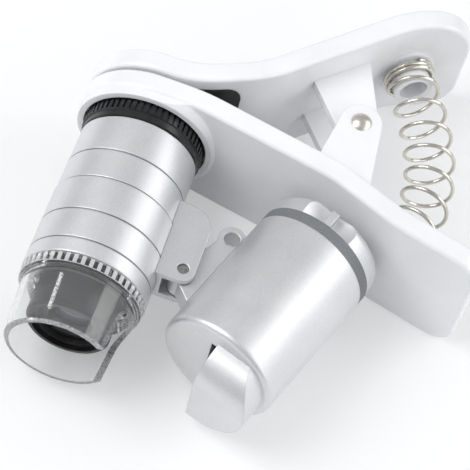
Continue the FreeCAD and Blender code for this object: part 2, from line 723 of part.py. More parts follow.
def make_hinge_bracket():
    """U-shaped bracket: a saddle on the barrel and two ears that hold the lamp's pin."""
    left = BARREL_TOP_R * 0.6
    outline = [Vector(left, BRACKET_TOP_Y, 0), Vector(BRACKET_EDGE_X, BRACKET_TOP_Y - 1.2, 0),
               Vector(BRACKET_EDGE_X, BRACKET_END_Y, 0), Vector(left, BRACKET_END_Y, 0)]
    block = Part.Face(Part.makePolygon(outline + outline[:1])).extrude(
        Vector(0, 0, 2 * BRACKET_HALF))
    block.translate(Vector(0, 0, AXIS_Z - BRACKET_HALF))

    def at_corner(edge, y):
        middle = edge.CenterOfMass
        upright = edge.BoundBox.ZLength > BRACKET_HALF
        return upright and abs(middle.x - BRACKET_EDGE_X) < 1e-3 and abs(middle.y - y) < 1e-3

    block = round_edges(block, BRACKET_CORNER, lambda e: at_corner(e, BRACKET_TOP_Y - 1.2))
    block = round_edges(block, BRACKET_EDGE_X - LAMP_PIN_X,
                        lambda e: at_corner(e, BRACKET_END_Y))
    inner = BRACKET_HALF - BRACKET_PLATE
    slot = Part.makeBox(20, 40, 2 * inner, Vector(BRACKET_WEB_X, BRACKET_END_Y - 10,
                                                  AXIS_Z - inner))
    bore = disc(LAMP_PIN_R + FIXED_GAP, 0, CLIP_WIDTH, LAMP_PIN_X, LAMP_PIN_Y)
    return one_solid(block.cut([slot, bore, barrel_solid(FIXED_GAP)]))


def make_lamp_pin():
    """Steel pin, sunk a little in the ears."""
    reach = BRACKET_HALF - 0.35
    shape = disc(LAMP_PIN_R, -reach, reach)
    shape = round_edges(shape, 0.2, lambda e: isinstance(e.Curve, Part.Circle))
    shape.translate(Vector(LAMP_PIN_X, LAMP_PIN_Y, AXIS_Z))
    return shape


def make_lamp_bracket():
    """Silver arm of the lamp: a knuckle on the pin, a web and a curled end."""
    half = BRACKET_HALF - BRACKET_PLATE - FREE_GAP
    knuckle = Vector(-LAMP_REACH, 0, LAMP_PIN_PLACE)
    back = -LAMP_R + 0.8
    low_foot = LAMP_PIN_PLACE + 4.0
    high_foot = 3.0
    across = Vector(0, -half, 0)
    barrel = Part.makeCylinder(KNUCKLE_R, 2 * half, knuckle + across, Vector(0, 1, 0))
    web_points = [knuckle + Vector(-KNUCKLE_R * 0.3, 0, -KNUCKLE_R * 0.95),
                  Vector(back - 3.6, 0, high_foot + 3.6), Vector(back, 0, high_foot),
                  Vector(back, 0, low_foot), knuckle + Vector(0.6, 0, KNUCKLE_R * 0.95)]
    web_points = [p + across for p in web_points]
    web = Part.Face(Part.makePolygon(web_points + web_points[:1])).extrude(
        Vector(0, 2 * half, 0))
    curl_centre = Vector(back - 2.0, -half, high_foot + 2.6)
    curl = Part.makeCylinder(2.3, 2 * half, curl_centre, Vector(0, 1, 0))
    hollow = Part.makeCylinder(1.35, 4 * half, curl_centre - Vector(0, half, 0), Vector(0, 1, 0))
    shape = barrel.multiFuse([web, curl]).cut(hollow)
    housing = Part.makeCylinder(LAMP_R + FIXED_GAP, 60, Vector(0, 0, -20))
    bore = Part.makeCylinder(LAMP_PIN_R + TURN_GAP, 4 * half,
                             knuckle - Vector(0, 2 * half, 0), Vector(0, 1, 0))
    return one_solid(place_in_lamp(shape.cut([housing, bore])))


def hood_block(radius, height, peak, side, extra):
    """Scoop form: flat low down, curved back to the face at its peak, cut at one side."""
    top = LAMP_FACE + height
    base = LAMP_FACE - extra
    arc_mid = Vector(0, peak * math.sin(math.pi / 4), LAMP_FACE + height * math.cos(math.pi / 4))
    outline = Part.Wire([
        Part.makeLine(Vector(0, peak, base), Vector(0, peak, LAMP_FACE)),
        Part.Arc(Vector(0, peak, LAMP_FACE), arc_mid, Vector(0, 0, top)).toShape(),
        Part.makeLine(Vector(0, 0, top), Vector(0, -radius - 2, top - 0.4)),
        Part.makeLine(Vector(0, -radius - 2, top - 0.4), Vector(0, -radius - 2, base)),
        Part.makeLine(Vector(0, -radius - 2, base), Vector(0, peak, base))])
    slab = Part.Face(outline).extrude(Vector(2 * radius, 0, 0))
    slab.translate(Vector(side, 0, 0))
    return slab.common(disc(radius, base, top))


def make_lamp_housing():
    """Silver housing: a cup with a flat face and a hood that throws the light sideways."""
    inner_r = LAMP_R - LAMP_WALL
    cup = disc(LAMP_R, 0, LAMP_FACE)
    cup = round_edges(cup, LAMP_EDGE_ROUND, lambda e: is_level_circle(e, LAMP_R, LAMP_FACE))
    cup = cup.cut(disc(inner_r, -1, LAMP_FACE - LAMP_WALL))
    hood = hood_block(HOOD_R, HOOD_HEIGHT, HOOD_PEAK, HOOD_SIDE, LAMP_WALL)
    hollow = hood_block(HOOD_R - HOOD_WALL, HOOD_HEIGHT - HOOD_WALL, HOOD_PEAK - HOOD_WALL,
                        HOOD_SIDE - 1, LAMP_WALL + 1)
    return one_solid(place_in_lamp(cup.fuse(hood).cut(hollow)))


def make_lamp_ring():
    """Dark grey ring between the housing and the turning cap."""
    return one_solid(place_in_lamp(tube(LAMP_R, LAMP_R - LAMP_WALL + TURN_GAP,
                                        -LAMP_RING_WIDTH + FIXED_GAP, -FIXED_GAP)))


def make_switch_cap():
    """Silver cap that turns to switch the lamp, with a thumb recess and a pointer."""
    low = -CAP_END
    high = -LAMP_RING_WIDTH - TURN_GAP
    cap = disc(CAP_R, low, high)
    cap = round_edges(cap, CAP_ROUND, lambda e: is_level_circle(e, CAP_R, low))
    spigot_r = LAMP_R - LAMP_WALL - TURN_GAP
    cap = cap.fuse(tube(spigot_r, spigot_r - 1.2, high - 0.5, high + CAP_SPIGOT))
    scoop = Part.makeSphere(9.0, Vector(0, CAP_R + 6.6, -3.3))
    pointer = Part.makeBox(1.4, 3.0, CAP_END - LAMP_RING_WIDTH - 0.9,
                           Vector(-0.7, CAP_R - 2.6, low + 0.7))
    shape = cap.cut(scoop).fuse(pointer.common(disc(CAP_R - 0.1, low, high)))
    return one_solid(place_in_lamp(shape))


def make_led_board():
    """Round board that the two lights are soldered to."""
    radius = LAMP_R - LAMP_WALL - FIXED_GAP
    board = disc(radius, BOARD_PLACE, BOARD_PLACE + BOARD_THICKNESS)
    return one_solid(place_in_lamp(board))


def make_led(side):
    """Light-emitting diode with a domed nose and a flange on the board."""
    base = BOARD_PLACE + BOARD_THICKNESS + FIXED_GAP
    top = LAMP_FACE + HOOD_HEIGHT - HOOD_WALL - 1.2
    body = revolved([(0, base), (LED_R + 0.3, base), (LED_R + 0.3, base + 0.8),
                     (LED_R, base + 0.8), (LED_R, top - LED_R), (0, top - LED_R)])
    shape = body.fuse(Part.makeSphere(LED_R, Vector(0, 0, top - LED_R)))
    shape.translate(Vector(LED_PLACE_U, side * LED_SPREAD, 0))
    return one_solid(place_in_lamp(shape))


def make_cell(number):
    """Button cell with a stepped can."""
    low = CELL_START + number * (CELL_H + FIXED_GAP)
    can = revolved([(0, low), (CELL_R - 0.7, low), (CELL_R - 0.7, low + 0.35),
                    (CELL_R - 0.2, low + 0.35), (CELL_R, low + 0.55), (CELL_R, low + CELL_H),
                    (0, low + CELL_H)])
    return one_solid(place_in_lamp(can))


def make_cell_holder():
    """White cage that keeps the cells in the middle of the housing."""
    low = CELL_START - 0.8
    high = BOARD_PLACE - FIXED_GAP
    bore = CELL_R + 0.15
    outer = LAMP_R - LAMP_WALL - FIXED_GAP
    body = revolved([(bore, low), (bore + 1.2, low), (bore + 1.2, high - 1.6),
                     (outer, high - 1.6), (outer, high), (bore - 1.2, high),
                     (bore - 1.2, high - 1.5), (bore, high - 1.5)])
    return one_solid(place_in_lamp(body))


def make_cap_contact():
    """Sprung brass disc in the cap that presses on the cells."""
    high = CELL_START - FIXED_GAP
    low = -LAMP_RING_WIDTH - TURN_GAP + FIXED_GAP
    rim = LAMP_R - LAMP_WALL - TURN_GAP - 1.2 - FIXED_GAP
    body = revolved([(0, high - 0.3), (2.5, high - 0.3), (rim - 0.8, low), (rim, low),
                     (rim, low + 0.35), (rim - 0.6, low + 0.35), (2.7, high), (0, high)])
    return one_solid(place_in_lamp(body))


def build():
    pieces = {
        "lens_arm": make_lens_arm(),
        "phone_arm": make_phone_arm(),
        "lens_pad": make_lens_pad(),
        "phone_pad": make_phone_pad(),
        "clip_rivet": make_rivet(),
        "clip_spring": make_clip_spring(),
        "focus_ring": make_focus_ring(),
        "eye_tube": make_eye_tube(),
        "eye_lens": make_eye_lens(),
        "upper_sleeve": make_upper_sleeve(),
        "lower_sleeve": make_lower_sleeve(),
        "lens_tube": make_lens_tube(),
        "objective_lens": make_objective_lens(),
        "lens_retainer": make_lens_retainer(),
        "light_skirt": make_light_skirt(),
        "hinge_bracket": make_hinge_bracket(),
        "lamp_pin": make_lamp_pin(),
        "lamp_bracket": make_lamp_bracket(),
        "lamp_housing": make_lamp_housing(),
        "lamp_ring": make_lamp_ring(),
        "switch_cap": make_switch_cap(),
        "led_board": make_led_board(),
        "white_led": make_led(1),
        "violet_led": make_led(-1),
        "cell_holder": make_cell_holder(),
        "cap_contact": make_cap_contact(),
    }
    for number in range(CELL_COUNT):
        pieces["button_cell_%d" % (number + 1)] = make_cell(number)
    return pieces


def main():
    os.makedirs("parts", exist_ok=True)
    for name, shape in build().items():
        shape.exportStep("parts/%s.step" % name)
        size = shape.BoundBox
        print("%-16s solids %d valid %s volume %8.1f  x %6.1f %6.1f  y %6.1f %6.1f  z %6.1f %6.1f"
              % (name, len(shape.Solids), shape.isValid(), shape.Volume, size.XMin, size.XMax,
                 size.YMin, size.YMax, size.ZMin, size.ZMax))


main()
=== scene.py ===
"""Looks of the clip-on phone microscope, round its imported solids, in metres.

The file follows the object as it is put together: the spring clip, the eyepiece and
barrel, the clear skirt, the lamp and its hinge, and last the table it lies on.
"""
import math
import bpy
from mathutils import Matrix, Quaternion, Vector


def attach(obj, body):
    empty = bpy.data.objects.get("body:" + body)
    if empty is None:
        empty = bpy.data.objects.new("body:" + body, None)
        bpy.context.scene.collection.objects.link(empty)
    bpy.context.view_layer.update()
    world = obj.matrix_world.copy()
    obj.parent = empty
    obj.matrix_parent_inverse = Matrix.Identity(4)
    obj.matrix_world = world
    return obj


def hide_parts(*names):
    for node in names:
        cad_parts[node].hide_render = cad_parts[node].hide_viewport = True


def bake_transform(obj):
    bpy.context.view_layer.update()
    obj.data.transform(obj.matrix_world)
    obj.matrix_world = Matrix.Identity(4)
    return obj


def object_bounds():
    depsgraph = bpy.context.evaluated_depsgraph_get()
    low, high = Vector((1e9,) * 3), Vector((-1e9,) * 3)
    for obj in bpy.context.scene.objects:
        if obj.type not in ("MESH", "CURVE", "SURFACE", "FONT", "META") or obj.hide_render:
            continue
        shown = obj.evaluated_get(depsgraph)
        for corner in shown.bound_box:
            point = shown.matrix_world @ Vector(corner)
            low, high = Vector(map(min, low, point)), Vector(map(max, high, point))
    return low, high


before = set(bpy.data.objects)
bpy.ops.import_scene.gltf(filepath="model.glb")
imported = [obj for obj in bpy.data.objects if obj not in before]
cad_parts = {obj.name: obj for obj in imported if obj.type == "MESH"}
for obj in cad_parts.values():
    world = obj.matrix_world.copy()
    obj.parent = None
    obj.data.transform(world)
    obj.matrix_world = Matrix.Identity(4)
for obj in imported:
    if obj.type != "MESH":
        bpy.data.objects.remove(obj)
cad_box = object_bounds()

# Clip arms: white ABS, injection moulded in a polished tool, which leaves a high gloss, a
# faint orange peel and a slow waviness in the wide faces. The phone arm also shows the round
# marks of the pins that pushed it out of the mould.
MM = 0.001
ARM_WHITE = "#F2F2F4"
ARM_WHITE_SHADE = "#ECEDEF"
ARM_WAVE = 9 * MM
ARM_WAVE_DEPTH = 0.06 * MM
ARM_PEEL = 0.45 * MM
ARM_PEEL_DEPTH = 0.0012 * MM
ARM_SHEEN = 2 * MM
ARM_EDGE = 0.25 * MM
EJECTOR_SPOTS = ((38.6, 19.5), (38.6, 4.5))
EJECTOR_RADIUS = 2.1 * MM
EJECTOR_LINE = 0.12 * MM
EJECTOR_DEPTH = 0.05 * MM


def linear(hex_colour):
    """sRGB hex to linear red, green, blue and alpha."""
    parts = [int(hex_colour[n:n + 2], 16) / 255 for n in (1, 3, 5)]
    return [c / 12.92 if c < 0.04045 else ((c + 0.055) / 1.055) ** 2.4 for c in parts] + [1.0]


def node(tree, kind, sockets=None, **settings):
    """Add a node, set its options, and set its sockets or link them.

    A value that is a node is linked from that node's first output.
    """
    made = tree.nodes.new(kind)
    for name, value in settings.items():
        setattr(made, name, value)
    for socket, value in (sockets or {}).items():
        if isinstance(value, bpy.types.Node):
            value = value.outputs[0]
        if isinstance(value, bpy.types.NodeSocket):
            tree.links.new(value, made.inputs[socket])
        else:
            made.inputs[socket].default_value = value
    return made


def blank_material(name):
    """An empty material, its node tree, and the position on the piece."""
    material = bpy.data.materials.new(name)
    material.use_nodes = True
    tree = material.node_tree
    tree.nodes.clear()
    return material, tree, node(tree, "ShaderNodeTexCoord").outputs["Object"]


def toned(tree, share, low, high, edges=(0.35, 0.65)):
    """Colour that goes from one hex value to the other as the share goes from edge to edge."""
    part = node(tree, "ShaderNodeMapRange", {
        "Value": share, "From Min": edges[0], "From Max": edges[1]})
    return node(tree, "ShaderNodeMix", {0: part, 6: linear(low), 7: linear(high)},
                data_type="RGBA").outputs[2]


def close_material(tree, sockets):
    """Principled surface as the material's end."""
    shader = node(tree, "ShaderNodeBsdfPrincipled", sockets)
    node(tree, "ShaderNodeOutputMaterial", {"Surface": shader})


def dress(material, *names):
    """Give CAD pieces their finish."""
    for name in names:
        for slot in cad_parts[name].material_slots:
            slot.material = material


def moulded_abs(name, spots=()):
    """Glossy white ABS, with ejector marks at the given places in X and Z."""
    material, tree, place = blank_material(name)
    wave = node(tree, "ShaderNodeTexNoise", {"Vector": place, "Scale": 1 / ARM_WAVE})
    peel = node(tree, "ShaderNodeTexNoise", {"Vector": place, "Scale": 1 / ARM_PEEL})
    sheen = node(tree, "ShaderNodeTexNoise", {"Vector": place, "Scale": 1 / ARM_SHEEN})
    bump = node(tree, "ShaderNodeBevel", {"Radius": ARM_EDGE}, samples=6)
    bump = node(tree, "ShaderNodeBump", {
        "Height": wave, "Distance": ARM_WAVE_DEPTH, "Normal": bump})
    bump = node(tree, "ShaderNodeBump", {
        "Height": peel, "Distance": ARM_PEEL_DEPTH, "Normal": bump})
    flat = node(tree, "ShaderNodeVectorMath", {0: place, 1: (1, 0, 1)}, operation="MULTIPLY")
    for x, z in spots:
        reach = node(tree, "ShaderNodeVectorMath", {0: flat, 1: (x * MM, 0, z * MM)},
                     operation="DISTANCE").outputs["Value"]
        rim = node(tree, "ShaderNodeMath", {0: reach, 1: EJECTOR_RADIUS, 2: EJECTOR_LINE},
                   operation="COMPARE")
        bump = node(tree, "ShaderNodeBump", {
            "Height": rim, "Distance": EJECTOR_DEPTH, "Normal": bump})
    close_material(tree, {
        "Base Color": toned(tree, wave, ARM_WHITE_SHADE, ARM_WHITE),
        "Roughness": node(tree, "ShaderNodeMapRange", {
            "Value": sheen, "To Min": 0.2, "To Max": 0.27}),
        "IOR": 1.53, "Subsurface Weight": 0.05, "Subsurface Radius": (0.6, 0.6, 0.5),
        "Subsurface Scale": 0.5 * MM, "Normal": bump})
    return material


dress(moulded_abs("moulded_white_abs"), "lens_arm")
dress(moulded_abs("moulded_white_abs_marked", EJECTOR_SPOTS), "phone_arm")

# Jaw pads: black silicone rubber, die-cut from sheet and glued in. The skin is matte, a
# little uneven and dusty, and shows a fine cloth grain from the sheet's press.
SILICONE = "#2A2B2D"
SILICONE_SHADE = "#1D1E20"
SHEET_PATCH = 3 * MM
SHEET_GRAIN = 0.35 * MM


def mottled(name, tones, patch, grain, gloss, depth, sockets):
    """Material with a low and a high tone in patches, over a grain that sets gloss and relief.

    Patch and grain are a size and a detail, and gloss is the roughness from low to high.
    """
    material, tree, place = blank_material(name)
    patches, grains = [node(tree, "ShaderNodeTexNoise", {
        "Vector": place, "Scale": 1 / size, "Detail": detail}) for size, detail in (patch, grain)]
    close_material(tree, {
        "Base Color": toned(tree, patches, *tones),
        "Roughness": node(tree, "ShaderNodeMapRange", {
            "Value": grains, "To Min": gloss[0], "To Max": gloss[1]}),
        "Normal": node(tree, "ShaderNodeBump", {"Height": grains, "Distance": depth}),
        **sockets})
    return material


dress(mottled("pressed_silicone_sheet", (SILICONE_SHADE, SILICONE), (SHEET_PATCH, 2.0),
              (SHEET_GRAIN, 1.0), (0.45, 0.6), 0.02 * MM, {"IOR": 1.41}),
      "lens_pad", "phone_pad")

# Rivet: nickel-plated steel, cold headed, so that its dome is smooth with faint ring marks
# from the tool. Nickel is a slightly warm, bright metal with fine hazy scratches.
NICKEL = "#DEDBD2"
NICKEL_DARK = "#CDC9BF"
NICKEL_PATCH = 2.5 * MM
NICKEL_HAZE = 0.5 * MM


def plated_nickel(name, smooth, hazy):
    """Nickel plating whose roughness goes from smooth to hazy."""
    return mottled(name, (NICKEL_DARK, NICKEL), (NICKEL_PATCH, 2.0), (NICKEL_HAZE, 4.0),
                   (smooth, hazy), 0.002 * MM, {"Metallic": 1.0})


dress(plated_nickel("nickel_plated_rivet", 0.3, 0.42), "clip_rivet")

# Clip spring: nickel-plated music wire, coiled with closed end turns that sit round the two
# posts. It bows sideways between the handles. The real one closes up as they are squeezed; this
# one is built once, at rest.
WIRE_RADIUS = 0.35 * MM
WIRE_SIDES = 14
COIL_RADIUS = 4.1 * MM
END_TURNS = 2.6
OPEN_TURNS = 7.0
END_TURN_PITCH = 0.742 * MM
SPRING_STEPS = 460
SPRING_BOW = 15.5 * MM
BOW_LENGTH = 36.2 * MM    # along the bowed middle line, from seat to seat
BOW_STEPS = 128
SEAT_LIFT = 1.07 * MM
MIDDLE_Z = 12 * MM
LENS_SEAT = Vector((45.933 * MM, -7.573 * MM, MIDDLE_Z))
LENS_SEAT_TURN = math.radians(76.29)
PHONE_SEAT = Vector((37.139 * MM, 28.241 * MM, MIDDLE_Z))
PHONE_SEAT_TURN = math.radians(-57.76)


def geometry_tree(name, inputs):
    """Empty geometry tree with named inputs, and its input node's sockets."""
    tree = bpy.data.node_groups.new(name, "GeometryNodeTree")
    tree.interface.new_socket("Geometry", in_out="INPUT", socket_type="NodeSocketGeometry")
    for label, kind in inputs.items():
        tree.interface.new_socket(label, in_out="INPUT", socket_type="NodeSocket" + kind)
    tree.interface.new_socket("Geometry", in_out="OUTPUT", socket_type="NodeSocketGeometry")
    return tree, node(tree, "NodeGroupInput").outputs


def close_tree(tree, geometry, material):
    """Realize Instances, smooth shading and Set Material, as the tree's last nodes."""
    real = node(tree, "GeometryNodeRealizeInstances", {0: geometry})
    smooth = node(tree, "GeometryNodeSetShadeSmooth", {0: real})
    painted = node(tree, "GeometryNodeSetMaterial", {0: smooth, "Material": material})
    node(tree, "NodeGroupOutput", {0: painted})


def grown(name, tree, values, material):
    """Plain mesh that the tree makes, with its place in its points."""
    carrier = bpy.data.objects.new(name + "_tree", bpy.data.meshes.new(name + "_tree"))
    bpy.context.scene.collection.objects.link(carrier)
    modifier = carrier.modifiers.new("shape", "NODES")
    modifier.node_group = tree
    for item in tree.interface.items_tree:
        if item.in_out == "INPUT" and item.name in values:
            modifier[item.identifier] = values[item.name]
    bpy.context.view_layer.update()
    evaluated = carrier.evaluated_get(bpy.context.evaluated_depsgraph_get())
    mesh = bpy.data.meshes.new_from_object(evaluated)
    mesh.name = name
    bpy.data.objects.remove(carrier)
    piece = bpy.data.objects.new(name, mesh)
    bpy.context.scene.collection.objects.link(piece)
    if not mesh.materials:
        mesh.materials.append(material)
    return piece


def direction(angle):
    """Unit vector in the table's plane."""
    return Vector((math.cos(angle), math.sin(angle), 0))


wire_nickel = plated_nickel("nickel_plated_wire", 0.12, 0.24)
coil_tree, given = geometry_tree("bowed_coil", {
    "Wire Radius": "Float", "Coil Radius": "Float", "End Turns": "Float",
    "Open Turns": "Float", "End Share": "Float", "Steps": "Int", "Start": "Vector",
    "Start Handle": "Vector", "End Handle": "Vector", "End": "Vector"})
line = node(coil_tree, "GeometryNodeCurvePrimitiveBezierSegment", {
    "Start": given["Start"], "Start Handle": given["Start Handle"],
    "End Handle": given["End Handle"], "End": given["End"], "Resolution": BOW_STEPS},
    mode="POSITION")
row = node(coil_tree, "GeometryNodeMeshLine", {"Count": given["Steps"]})
wire = node(coil_tree, "GeometryNodeMeshToCurve", {"Mesh": row})

ends = node(coil_tree, "ShaderNodeMath", {0: given["End Turns"], 1: 2.0}, operation="MULTIPLY")
turns = node(coil_tree, "ShaderNodeMath", {0: ends, 1: given["Open Turns"]}, operation="ADD")
last = node(coil_tree, "ShaderNodeMath", {0: given["Steps"], 1: 1.0}, operation="SUBTRACT")
index = node(coil_tree, "GeometryNodeInputIndex")
share = node(coil_tree, "ShaderNodeMath", {0: index, 1: last}, operation="DIVIDE")
turn = node(coil_tree, "ShaderNodeMath", {0: share, 1: turns}, operation="MULTIPLY")
tail = node(coil_tree, "ShaderNodeMath", {
    0: given["End Turns"], 1: given["Open Turns"]}, operation="ADD")
both_ends = node(coil_tree, "ShaderNodeMath", {0: given["End Share"], 1: 2.0},
                 operation="MULTIPLY")
open_share = node(coil_tree, "ShaderNodeMath", {0: 1.0, 1: both_ends}, operation="SUBTRACT")
first_way = node(coil_tree, "ShaderNodeMapRange", {
    "Value": turn, "From Min": 0.0, "From Max": given["End Turns"], "To Min": 0.0,
    "To Max": given["End Share"]})
open_way = node(coil_tree, "ShaderNodeMapRange", {
    "Value": turn, "From Min": given["End Turns"], "From Max": tail, "To Min": 0.0,
    "To Max": open_share})
last_way = node(coil_tree, "ShaderNodeMapRange", {
    "Value": turn, "From Min": tail, "From Max": turns, "To Min": 0.0,
    "To Max": given["End Share"]})
travel = node(coil_tree, "ShaderNodeMath", {0: first_way, 1: open_way}, operation="ADD")
travel = node(coil_tree, "ShaderNodeMath", {0: travel, 1: last_way}, operation="ADD")

sample = node(coil_tree, "GeometryNodeSampleCurve", {"Curves": line, "Factor": travel},
              mode="FACTOR", use_all_curves=True)
across = node(coil_tree, "ShaderNodeVectorMath", {
    0: sample.outputs["Tangent"], 1: (0, 0, 1)}, operation="CROSS_PRODUCT")
angle = node(coil_tree, "ShaderNodeMath", {0: turn, 1: math.tau}, operation="MULTIPLY")
cosine = node(coil_tree, "ShaderNodeMath", {0: angle}, operation="COSINE")
sine = node(coil_tree, "ShaderNodeMath", {0: angle}, operation="SINE")
side = node(coil_tree, "ShaderNodeMath", {0: cosine, 1: given["Coil Radius"]},
            operation="MULTIPLY")
rise = node(coil_tree, "ShaderNodeMath", {0: sine, 1: given["Coil Radius"]},
            operation="MULTIPLY")
outward = node(coil_tree, "ShaderNodeVectorMath", {0: across, "Scale": side}, operation="SCALE")
upward = node(coil_tree, "ShaderNodeCombineXYZ", {"Z": rise})
offset = node(coil_tree, "ShaderNodeVectorMath", {0: outward, 1: upward}, operation="ADD")
wound = node(coil_tree, "GeometryNodeSetPosition", {
    "Geometry": wire, "Position": sample.outputs["Position"], "Offset": offset})
section = node(coil_tree, "GeometryNodeCurvePrimitiveCircle", {
    "Resolution": WIRE_SIDES, "Radius": given["Wire Radius"]})
drawn = node(coil_tree, "GeometryNodeCurveToMesh", {
    "Curve": wound, "Profile Curve": section, "Fill Caps": True})
close_tree(coil_tree, drawn, wire_nickel)

lens_away = direction(LENS_SEAT_TURN)
phone_away = direction(PHONE_SEAT_TURN)
wire_start = LENS_SEAT + lens_away * SEAT_LIFT
wire_end = PHONE_SEAT + phone_away * SEAT_LIFT
spring = grown("clip_spring_wire", coil_tree, {
    "Wire Radius": WIRE_RADIUS, "Coil Radius": COIL_RADIUS, "End Turns": END_TURNS,
    "Open Turns": OPEN_TURNS, "End Share": END_TURN_PITCH * END_TURNS / BOW_LENGTH,
    "Steps": SPRING_STEPS, "Start": wire_start, "Start Handle": LENS_SEAT + lens_away * SPRING_BOW,
    "End Handle": PHONE_SEAT + phone_away * SPRING_BOW, "End": wire_end}, wire_nickel)
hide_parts("clip_spring")
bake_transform(spring)

# Eyepiece and inner tube: black ABS, moulded and left satin against stray light. The lenses
# in them are small polished glass, with the faint blue-violet of an anti-glare coat.
SOFT_BLACK = "#0F1011"
SOFT_BLACK_WORN = "#18191A"
TUBE_PATCH = 1.5 * MM
TUBE_GRAIN = 0.2 * MM
GLASS_TINT = "#F2F5FA"
COAT_TINT = "#D2CFF2"
GLASS_SMEAR = 0.6 * MM

black_abs = mottled("satin_black_abs", (SOFT_BLACK, SOFT_BLACK_WORN), (TUBE_PATCH, 2.0),
                    (TUBE_GRAIN, 2.0), (0.3, 0.42), 0.006 * MM, {"IOR": 1.53})
dress(black_abs, "eye_tube", "lens_tube", "lens_retainer")

material, tree, place = blank_material("coated_lens_glass")
smear = node(tree, "ShaderNodeTexNoise", {"Vector": place, "Scale": 1 / GLASS_SMEAR})
close_material(tree, {
    "Base Color": linear(GLASS_TINT), "Transmission Weight": 1.0, "IOR": 1.52,
    "Roughness": node(tree, "ShaderNodeMapRange", {
        "Value": smear, "To Min": 0.0, "To Max": 0.03}),
    "Coat Weight": 0.3, "Coat Tint": linear(COAT_TINT)})
dress(material, "eye_lens", "objective_lens")

# Anti-glare thread: fine turned ridges inside the front of the inner tube, in the same black
# plastic. They are drawn 0.24 mm apart, a little coarser than the real ones, so that they show.
THREAD_RADIUS = 5.18 * MM
THREAD_RIDGE = 0.07 * MM
THREAD_PITCH = 0.24 * MM
THREAD_COUNT = 4
THREAD_START = 40.6 * MM
THREAD_SIDES = 72
RIDGE_SIDES = 6

thread_tree, given = geometry_tree("anti_glare_thread", {
    "Radius": "Float", "Ridge": "Float", "Pitch": "Float", "Count": "Int", "Start": "Float"})
back = node(thread_tree, "ShaderNodeMath", {0: given["Pitch"], 1: -1.0}, operation="MULTIPLY")
start = node(thread_tree, "ShaderNodeMath", {0: given["Start"], 1: -1.0}, operation="MULTIPLY")
step = node(thread_tree, "ShaderNodeCombineXYZ", {"Y": back})
first = node(thread_tree, "ShaderNodeCombineXYZ", {"Y": start, "Z": MIDDLE_Z})
places = node(thread_tree, "GeometryNodeMeshLine", {
    "Count": given["Count"], "Start Location": first, "Offset": step}, mode="OFFSET")
ring = node(thread_tree, "GeometryNodeCurvePrimitiveCircle", {
    "Resolution": THREAD_SIDES, "Radius": given["Radius"]})
profile = node(thread_tree, "GeometryNodeCurvePrimitiveCircle", {
    "Resolution": RIDGE_SIDES, "Radius": given["Ridge"]})
ridge = node(thread_tree, "GeometryNodeCurveToMesh", {"Curve": ring, "Profile Curve": profile})
ridges = node(thread_tree, "GeometryNodeInstanceOnPoints", {
    "Points": places, "Instance": ridge, "Rotation": (math.pi / 2, 0, 0)})
close_tree(thread_tree, ridges, black_abs)
thread = grown("anti_glare_thread", thread_tree, {
    "Radius": THREAD_RADIUS, "Ridge": THREAD_RIDGE, "Pitch": THREAD_PITCH,
    "Count": THREAD_COUNT, "Start": THREAD_START}, black_abs)
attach(thread, "focus_tube")

# Focusing ring: black ABS with moulded teeth for the fingertip. Handling polishes the crests,
# so the rim is glossier and a little greyer than the tubes inside.
RING_BLACK = "#121314"
RING_BLACK_RUBBED = "#1E1F21"
RING_RUB = 1.2 * MM
RING_GRAIN = 0.25 * MM

material, tree, place = blank_material("handled_black_abs")
rub = node(tree, "ShaderNodeTexNoise", {
    "Vector": place, "Scale": 1 / RING_RUB, "Detail": 3.0})
grain = node(tree, "ShaderNodeTexNoise", {"Vector": place, "Scale": 1 / RING_GRAIN})
close_material(tree, {
    "Base Color": toned(tree, rub, RING_BLACK, RING_BLACK_RUBBED), "IOR": 1.53,
    "Roughness": node(tree, "ShaderNodeMapRange", {
        "Value": rub, "To Min": 0.22, "To Max": 0.36}),
    "Normal": node(tree, "ShaderNodeBump", {"Height": grain, "Distance": 0.004 * MM})})
dress(material, "focus_ring")

# Barrel, hinge bracket, lamp and cap: moulded ABS sprayed with silver lacquer. Tiny aluminium
# flakes in a clear binder give a satin metal that glitters faintly and pools at the edges.
SILVER = "#E2E3E4"
SILVER_SHADE = "#D6D7D9"
# Painted shade: grey painted into the barrel's grooves, in place of the shade in those recesses.
GROOVE_PAINTED_SHADE = "#929395"
FLAKE_SIZE = 0.13 * MM
FLAKE_DEPTH = 0.0035 * MM
FLAKE_SHARE = 0.45
SPRAY_CLOUD = 5 * MM
SPRAY_PEEL = 0.7 * MM
SPRAY_PEEL_DEPTH = 0.006 * MM
LACQUER_EDGE = 0.3 * MM
GROOVE_PLACES = (13.5, 19.1, 25.7, 31.3)
GROOVE_HALF = 0.13 * MM


